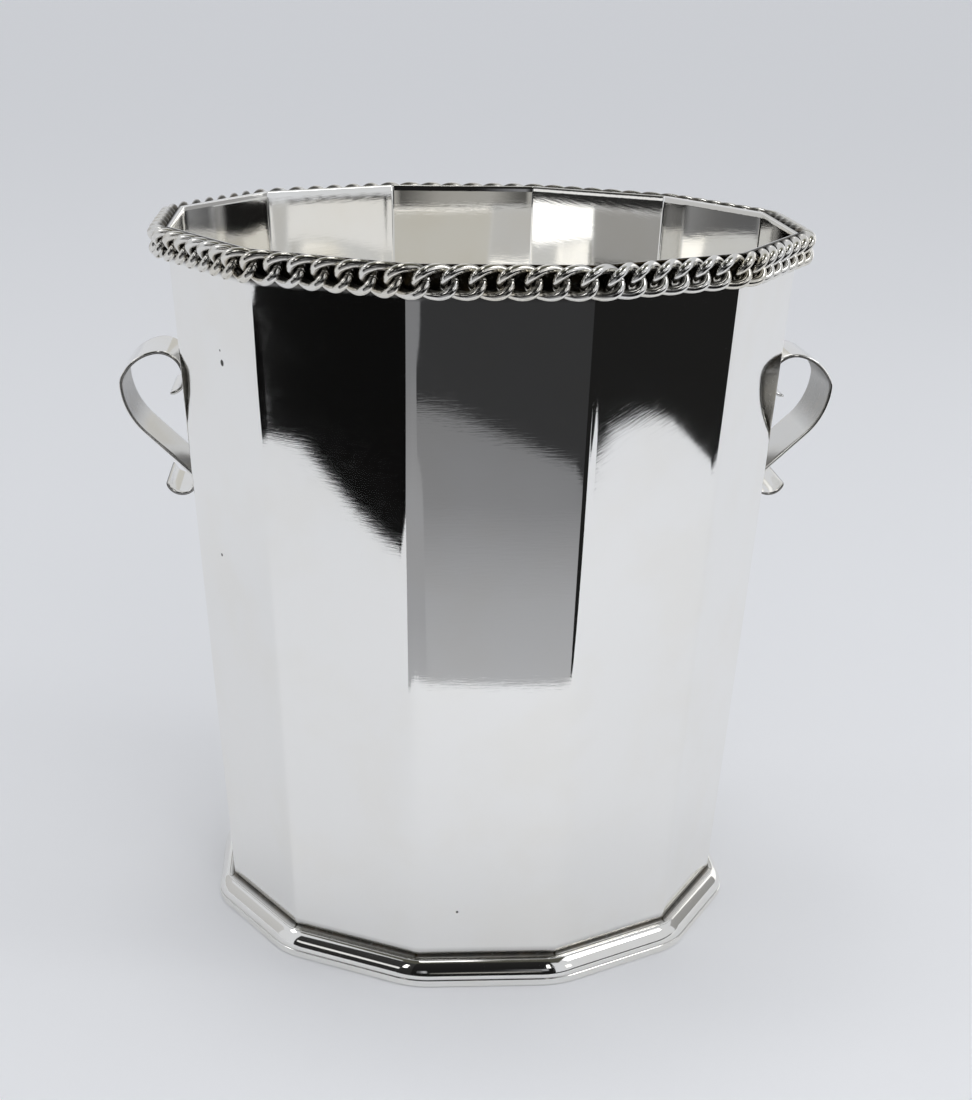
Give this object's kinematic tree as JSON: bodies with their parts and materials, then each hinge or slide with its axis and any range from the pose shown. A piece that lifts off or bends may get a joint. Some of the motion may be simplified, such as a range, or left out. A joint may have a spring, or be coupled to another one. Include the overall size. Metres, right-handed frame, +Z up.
{
  "type": "champagne bucket",
  "caption": "Tapering many-sided silver champagne bucket with a twisted chain border at the rim, two fixed scrolled strap handles and a moulded foot.",
  "frame": {"origin": "on the bucket's axis, at the level the foot stands on", "axes": "+Z up along the axis, +X towards the right handle, flats facing +X, -X, +Y and -Y"},
  "size_m": [0.2188, 0.1976, 0.2166],
  "materials": {
    "silver_wall": "polished silver sheet with fine polishing marks and small pits",
    "silver_strap": "polished silver strap with faint rolling lines along its length",
    "silver_moulding": "polished silver moulding, tarnished in its cove",
    "silver_chain": "polished silver wire, dark in its recesses"
  },
  "bodies": {
    "root": {"body_wall": "silver_wall", "base_plate": "silver_wall", "handle_left": "silver_strap", "handle_right": "silver_strap", "foot_moulding_01": "silver_moulding", "foot_moulding_02": "silver_moulding", "foot_moulding_03": "silver_moulding", "foot_moulding_04": "silver_moulding", "foot_moulding_05": "silver_moulding", "foot_moulding_06": "silver_moulding", "foot_moulding_07": "silver_moulding", "foot_moulding_08": "silver_moulding", "foot_moulding_09": "silver_moulding", "foot_moulding_10": "silver_moulding", "foot_moulding_11": "silver_moulding", "foot_moulding_12": "silver_moulding", "rim_chain_01": "silver_chain", "rim_chain_02": "silver_chain", "rim_chain_03": "silver_chain", "rim_chain_04": "silver_chain", "rim_chain_05": "silver_chain", "rim_chain_06": "silver_chain", "rim_chain_07": "silver_chain", "rim_chain_08": "silver_chain", "rim_chain_09": "silver_chain", "rim_chain_10": "silver_chain", "rim_chain_11": "silver_chain", "rim_chain_12": "silver_chain"}
  },
  "joints": []
}
